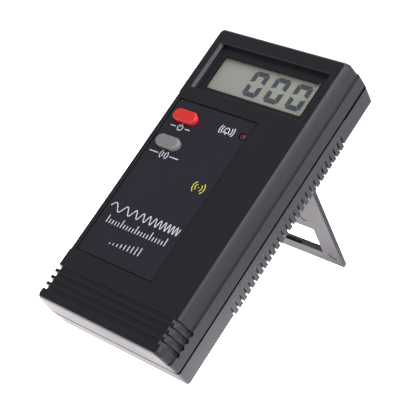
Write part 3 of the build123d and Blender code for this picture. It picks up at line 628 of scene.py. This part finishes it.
def spectrum_mark():
    """Wave whose length shortens from left to right."""
    half_length, half_height = 18.2, 1.7
    first_wave, last_wave = 7.5, 1.7
    count = 260
    points = []
    phase = 0.0
    for step in range(count + 1):
        share = step / count
        points.append(Vector((-half_length + 2 * half_length * share, half_height * sin(phase))))
        phase += 2 * pi * (2 * half_length / count) / (first_wave * (last_wave / first_wave) ** share)
    return [points]


def scale_mark():
    """Ruled scale under the wave, with every fifth stroke long."""
    count, pitch = 21, 1.55
    foot, short_top, long_top = -1.6, -0.1, 1.5
    marks = []
    for number in range(count):
        x = (number - count // 2) * pitch
        marks.append(line((x, foot), (x, long_top if number % 5 == 0 else short_top)))
    return marks


def level_mark():
    """Row of rising bars."""
    count, pitch = 9, 1.9
    foot, first_top, rise = -1.6, -1.3, 0.38
    marks = []
    for number in range(count):
        x = (number - count // 2) * pitch
        marks.append(line((x, foot), (x, first_top + rise * number)))
    return marks


label_low, label_high = case_box("face_label")
power_low, power_high = case_box("power_button")
hold_low = case_box("hold_button")[0]
lamp_low, lamp_high = case_box("alarm_led")
label_middle = (label_low.x + label_high.x) / 2
button_middle = (power_low.x + power_high.x) / 2
lamp_middle = (lamp_low.y + lamp_high.y) / 2

ink_thickness = 0.03 * MM
stroke_width = 0.42 * MM
power_mark_drop = 1.2 * MM              # below the red cap
hold_mark_drop = 1.6 * MM               # below the grey cap
hold_mark_shift = 1.0 * MM
alarm_mark_shift = 6.2 * MM             # left of the lamp
alarm_mark_rise = 0.2 * MM
field_mark_inset = 6.3 * MM             # from the label's right edge
field_mark_up = 41.2 * MM               # from the label's lower edge, as for the next three
spectrum_mark_up = 21.6 * MM
scale_mark_up = 16.1 * MM
level_mark_up = 8.5 * MM


def print_marks(name, groups, material):
    """One printed piece from several marks, each at its place on the label."""
    builder = bmesh.new()
    for marks, x, y in groups:
        for path in marks:
            placed = [Vector((x + point.x * MM, y + point.y * MM)) for point in path]
            add_stroke(builder, placed, stroke_width, label_high.z, label_high.z + ink_thickness)
    add_piece(builder, name, material, "case")


white_ink = ink("white_ink", (0.78, 0.78, 0.80))
yellow_ink = ink("yellow_ink", (0.80, 0.72, 0.09))
print_marks("button_symbols", [
    (power_mark(), button_middle, power_low.y - power_mark_drop),
    (hold_mark(), button_middle + hold_mark_shift, hold_low.y - hold_mark_drop),
    (alarm_mark(), lamp_low.x - alarm_mark_shift, lamp_middle + alarm_mark_rise),
], white_ink)
print_marks("spectrum_graphic", [
    (spectrum_mark(), label_middle, label_low.y + spectrum_mark_up),
    (scale_mark(), label_middle, label_low.y + scale_mark_up),
    (level_mark(), label_middle, label_low.y + level_mark_up),
], white_ink)
print_marks("field_symbol", [
    (field_mark(), label_high.x - field_mark_inset, label_low.y + field_mark_up),
], yellow_ink)

# ---- display digits -------------------------------------------------------------------------------
window_low, window_high = case_box("display_window")
glass_face = case_box("lcd_glass")[1].z
digit_width = 7.6 * MM
digit_height = 12.3 * MM
digit_pitch = 10.85 * MM
digit_lean = tan(radians(1.5))
digit_bar = 2.25 * MM
digit_gap = 0.1 * MM
digit_waist = 0.5 * MM
digit_corner = 1.2 * MM
digit_count = 3
segment_thickness = 0.02 * MM
digits_reach = 21.3 * MM                # right of the window's middle
digits_rise = 0.6 * MM                  # above it
digits_right = (window_low.x + window_high.x) / 2 + digits_reach
digits_middle = (window_low.y + window_high.y) / 2 + digits_rise


def zero_segments():
    """The six lit segments of a nought, around its middle."""
    outer_x, outer_y = digit_width / 2, digit_height / 2
    inner_x, inner_y = outer_x - digit_bar, outer_y - digit_bar
    bevel_x, bevel_y = outer_x - digit_corner / 2, outer_y - digit_corner / 2
    top_end = outer_x - digit_corner - digit_gap
    top = [
        (-top_end, outer_y), (top_end, outer_y),
        (bevel_x - digit_gap, bevel_y + digit_gap / 2), (inner_x - digit_gap, inner_y),
        (-inner_x + digit_gap, inner_y), (-bevel_x + digit_gap, bevel_y + digit_gap / 2),
    ]
    side = [
        (outer_x, outer_y - digit_corner - digit_gap / 2), (outer_x, digit_waist),
        (inner_x, digit_waist + digit_bar / 3), (inner_x, inner_y - digit_gap),
        (bevel_x, bevel_y - digit_gap / 2),
    ]
    segments = [top, [(x, -y) for x, y in top]]
    for flip_x in (1, -1):
        for flip_y in (1, -1):
            segments.append([(flip_x * x, flip_y * y) for x, y in side])
    return segments


digits = bmesh.new()
for number in range(digit_count):
    centre_x = digits_right - digit_width / 2 - number * digit_pitch
    for segment in zero_segments():
        outline = [Vector((centre_x + x + y * digit_lean, digits_middle + y)) for x, y in segment]
        add_plate(digits, outline, glass_face, glass_face + segment_thickness)
liquid_crystal = speckled(
    "liquid_crystal", (0.055, 0.066, 0.075), (0.085, 0.098, 0.108), size=lcd_speck, roughness=lcd_gloss,
)
add_piece(digits, "display_digits", liquid_crystal, "case")
